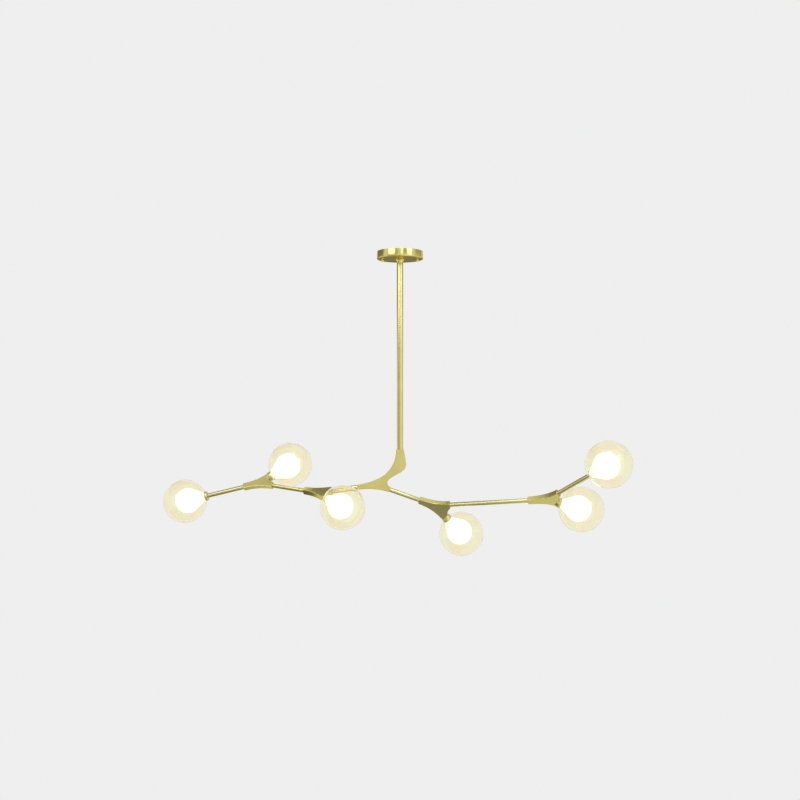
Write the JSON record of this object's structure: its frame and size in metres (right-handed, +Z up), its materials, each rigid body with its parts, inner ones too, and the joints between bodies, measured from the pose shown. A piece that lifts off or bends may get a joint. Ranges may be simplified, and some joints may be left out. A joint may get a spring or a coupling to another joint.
{
  "type": "branch chandelier",
  "caption": "Ceiling chandelier with a round canopy, a down rod, a cast hub, jointed brass branches and double-glass ball lights.",
  "frame": {"origin": "on the ceiling, at the centre of the canopy, midway between the two screw slots of the bracket", "axes": "+Z up, +X along the branches, -Y towards the room"},
  "size_m": [1.2347, 0.452, 0.8263],
  "materials": {
    "steel": "zinc-plated",
    "satin_brass": "satin",
    "bright_brass": "satin",
    "ceramic": "matte",
    "cable": "matte",
    "amber_glass": "clear, pale amber",
    "frosted_glass": "frosted",
    "bulb": "satin"
  },
  "bodies": {
    "ceiling_mount": {"mounting_bracket": "steel", "canopy_studs": "steel", "hanger_nipple": "bright_brass", "lock_nuts": "steel", "terminal_block": "ceramic", "earth_screw": "bright_brass", "canopy_wires": "cable"},
    "canopy": {"canopy": "satin_brass", "canopy_collar": "satin_brass"},
    "cap_nut_left": {"cap_nut_left": "bright_brass"},
    "cap_nut_right": {"cap_nut_right": "bright_brass"},
    "stem": {"down_rod": "satin_brass", "hub": "satin_brass", "stem_wires": "cable", "left_inner_rod": "satin_brass", "right_inner_rod": "satin_brass"},
    "left_arm": {"left_casting": "satin_brass", "left_outer_rod": "satin_brass", "left_wires": "cable", "lamp_cup_3": "satin_brass", "lampholder_3": "ceramic"},
    "left_tip": {"left_tip_casting": "satin_brass", "left_tip_rod": "satin_brass", "left_tip_wires": "cable", "lamp_cup_1": "satin_brass", "lampholder_1": "ceramic", "lamp_cup_2": "satin_brass", "lampholder_2": "ceramic"},
    "right_arm": {"right_casting": "satin_brass", "right_outer_rod": "satin_brass", "right_wires": "cable", "lamp_cup_4": "satin_brass", "lampholder_4": "ceramic"},
    "right_tip": {"right_tip_casting": "satin_brass", "right_tip_rod": "satin_brass", "right_tip_wires": "cable", "lamp_cup_5": "satin_brass", "lampholder_5": "ceramic", "lamp_cup_6": "satin_brass", "lampholder_6": "ceramic"},
    "globe_1": {"inner_glass_1": "frosted_glass", "outer_globe_1": "amber_glass"},
    "bulb_1": {"bulb_1": "bulb"},
    "globe_2": {"inner_glass_2": "frosted_glass", "outer_globe_2": "amber_glass"},
    "bulb_2": {"bulb_2": "bulb"},
    "globe_3": {"inner_glass_3": "frosted_glass", "outer_globe_3": "amber_glass"},
    "bulb_3": {"bulb_3": "bulb"},
    "globe_4": {"inner_glass_4": "frosted_glass", "outer_globe_4": "amber_glass"},
    "bulb_4": {"bulb_4": "bulb"},
    "globe_5": {"inner_glass_5": "frosted_glass", "outer_globe_5": "amber_glass"},
    "bulb_5": {"bulb_5": "bulb"},
    "globe_6": {"inner_glass_6": "frosted_glass", "outer_globe_6": "amber_glass"},
    "bulb_6": {"bulb_6": "bulb"}
  },
  "joints": [
    {"name": "canopy_drop", "type": "slide", "parent": "ceiling_mount", "child": "canopy", "axis": [0, 0, -1], "range_m": [0, 0.12]},
    {"name": "cap_nut_left_unscrew", "type": "slide", "parent": "canopy", "child": "cap_nut_left", "axis": [0, 0, -1], "range_m": [0, 0.012]},
    {"name": "cap_nut_right_unscrew", "type": "slide", "parent": "canopy", "child": "cap_nut_right", "axis": [0, 0, -1], "range_m": [0, 0.012]},
    {"name": "stem_turn", "type": "hinge", "parent": "ceiling_mount", "child": "stem", "pos_m": [0, 0, -0.0165], "axis": [0, 0, 1], "range_deg": [-170, 170]},
    {"name": "left_arm_turn", "type": "hinge", "parent": "stem", "child": "left_arm", "pos_m": [-0.18298, 0, -0.64703], "axis": [-0.9914, 0, -0.1305], "range_deg": [-160, 160]},
    {"name": "left_tip_turn", "type": "hinge", "parent": "left_arm", "child": "left_tip", "pos_m": [-0.34721, 0.04583, -0.63528], "axis": [-0.9287, 0.3472, 0.1305], "range_deg": [-160, 160]},
    {"name": "right_arm_turn", "type": "hinge", "parent": "stem", "child": "right_arm", "pos_m": [0.05189, 0, -0.67289], "axis": [0.9426, 0, -0.3338], "range_deg": [-160, 160]},
    {"name": "right_tip_turn", "type": "hinge", "parent": "right_arm", "child": "right_tip", "pos_m": [0.33624, -0.07861, -0.67012], "axis": [0.9487, -0.3083, 0.0698], "range_deg": [-160, 160]},
    {"name": "globe_1_pull", "type": "slide", "parent": "left_tip", "child": "globe_1", "axis": [-0.9641, 0.1269, -0.2334], "range_m": [0, 0.07]},
    {"name": "bulb_1_pull", "type": "slide", "parent": "left_tip", "child": "bulb_1", "axis": [-0.9641, 0.1269, -0.2334], "range_m": [0, 0.008]},
    {"name": "globe_2_pull", "type": "slide", "parent": "left_tip", "child": "globe_2", "axis": [0.8467, 0.0906, 0.5242], "range_m": [0, 0.07]},
    {"name": "bulb_2_pull", "type": "slide", "parent": "left_tip", "child": "bulb_2", "axis": [0.8467, 0.0906, 0.5242], "range_m": [0, 0.008]},
    {"name": "globe_3_pull", "type": "slide", "parent": "left_arm", "child": "globe_3", "axis": [0.7038, -0.6152, -0.3553], "range_m": [0, 0.07]},
    {"name": "bulb_3_pull", "type": "slide", "parent": "left_arm", "child": "bulb_3", "axis": [0.7038, -0.6152, -0.3553], "range_m": [0, 0.008]},
    {"name": "globe_4_pull", "type": "slide", "parent": "right_arm", "child": "globe_4", "axis": [0.6362, 0.3509, -0.6871], "range_m": [0, 0.07]},
    {"name": "bulb_4_pull", "type": "slide", "parent": "right_arm", "child": "bulb_4", "axis": [0.6362, 0.3509, -0.6871], "range_m": [0, 0.008]},
    {"name": "globe_5_pull", "type": "slide", "parent": "right_tip", "child": "globe_5", "axis": [0.6064, -0.6735, 0.4226], "range_m": [0, 0.07]},
    {"name": "bulb_5_pull", "type": "slide", "parent": "right_tip", "child": "bulb_5", "axis": [0.6064, -0.6735, 0.4226], "range_m": [0, 0.008]},
    {"name": "globe_6_pull", "type": "slide", "parent": "right_tip", "child": "globe_6", "axis": [0.9492, 0.1367, -0.2833], "range_m": [0, 0.07]},
    {"name": "bulb_6_pull", "type": "slide", "parent": "right_tip", "child": "bulb_6", "axis": [0.9492, 0.1367, -0.2833], "range_m": [0, 0.008]}
  ]
}
